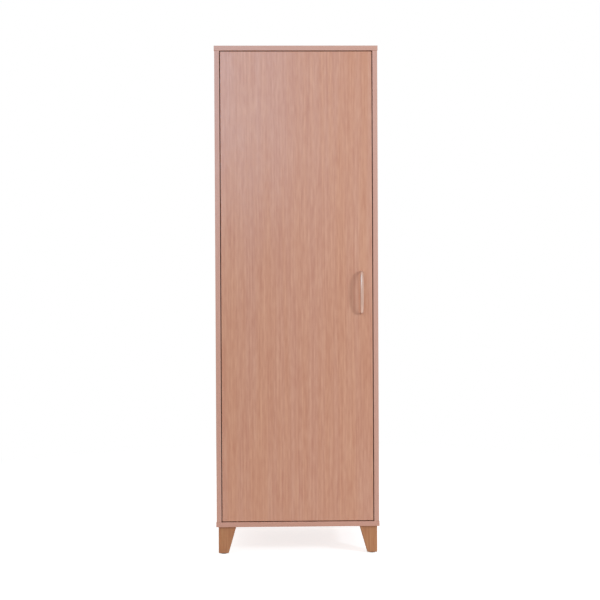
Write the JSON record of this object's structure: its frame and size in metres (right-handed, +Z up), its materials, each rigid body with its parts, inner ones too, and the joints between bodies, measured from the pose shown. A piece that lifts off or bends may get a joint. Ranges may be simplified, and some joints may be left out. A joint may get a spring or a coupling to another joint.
{
  "type": "wardrobe",
  "caption": "Tall narrow wardrobe with one inset oak-laminate door on concealed cup hinges, a bow handle, a hat shelf and hanging rail inside, and tapered wooden legs",
  "frame": {"origin": "On the floor, under the middle of the bounding box in x and y, with the handle counted in the box", "axes": "+Z up from the floor to the top board, -Y the front with the door and handle, +Y the wall side, +X the handle side of the door as seen from the front's right hand"},
  "size_m": [0.6, 0.5504, 1.865],
  "materials": {
    "laminate": "satin oak-grain melamine on particle board",
    "back_board": "thin hardboard with a printed face",
    "leg_wood": "lacquered solid oak",
    "handle_metal": "satin nickel",
    "rail_metal": "polished chrome tube",
    "hinge_metal": "nickel plated steel",
    "fixing_steel": "zinc plated steel",
    "glide_plastic": "black moulded plastic"
  },
  "bodies": {
    "case": {"back_panel": "back_board", "bottom_panel": "laminate", "case_screw_bottom_front_left": "fixing_steel", "case_screw_bottom_front_right": "fixing_steel", "case_screw_bottom_rear_left": "fixing_steel", "case_screw_bottom_rear_right": "fixing_steel", "case_screw_top_front_left": "fixing_steel", "case_screw_top_front_right": "fixing_steel", "case_screw_top_rear_left": "fixing_steel", "case_screw_top_rear_right": "fixing_steel", "hanging_rail": "rail_metal", "hat_shelf": "laminate", "hinge_arm_lower": "hinge_metal", "hinge_arm_middle": "hinge_metal", "hinge_arm_screw_lower": "fixing_steel", "hinge_arm_screw_middle": "fixing_steel", "hinge_arm_screw_upper": "fixing_steel", "hinge_arm_upper": "hinge_metal", "hinge_plate_lower": "hinge_metal", "hinge_plate_lower_screw_lower": "fixing_steel", "hinge_plate_lower_screw_upper": "fixing_steel", "hinge_plate_middle": "hinge_metal", "hinge_plate_middle_screw_lower": "fixing_steel", "hinge_plate_middle_screw_upper": "fixing_steel", "hinge_plate_upper": "hinge_metal", "hinge_plate_upper_screw_lower": "fixing_steel", "hinge_plate_upper_screw_upper": "fixing_steel", "left_side_panel": "laminate", "leg_front_left": "leg_wood", "leg_front_left_bolt": "fixing_steel", "leg_front_left_glide": "glide_plastic", "leg_front_right": "leg_wood", "leg_front_right_bolt": "fixing_steel", "leg_front_right_glide": "glide_plastic", "leg_rear_left": "leg_wood", "leg_rear_left_bolt": "fixing_steel", "leg_rear_left_glide": "glide_plastic", "leg_rear_right": "leg_wood", "leg_rear_right_bolt": "fixing_steel", "leg_rear_right_glide": "glide_plastic", "rail_socket_left": "hinge_metal", "rail_socket_right": "hinge_metal", "right_side_panel": "laminate", "shelf_pin_front_left": "hinge_metal", "shelf_pin_front_right": "hinge_metal", "shelf_pin_rear_left": "hinge_metal", "shelf_pin_rear_right": "hinge_metal", "top_panel": "laminate"},
    "door": {"door_handle": "handle_metal", "door_panel": "laminate", "handle_screw_lower": "fixing_steel", "handle_screw_upper": "fixing_steel", "hinge_cup_lower": "hinge_metal", "hinge_cup_middle": "hinge_metal", "hinge_cup_upper": "hinge_metal", "hinge_pin_lower": "fixing_steel", "hinge_pin_middle": "fixing_steel", "hinge_pin_upper": "fixing_steel"}
  },
  "joints": [
    {"name": "door_swing", "type": "hinge", "parent": "case", "child": "door", "pos_m": [-0.26044, -0.23435, 0.983], "axis": [0, 0, -1], "range_deg": [0, 105]}
  ]
}
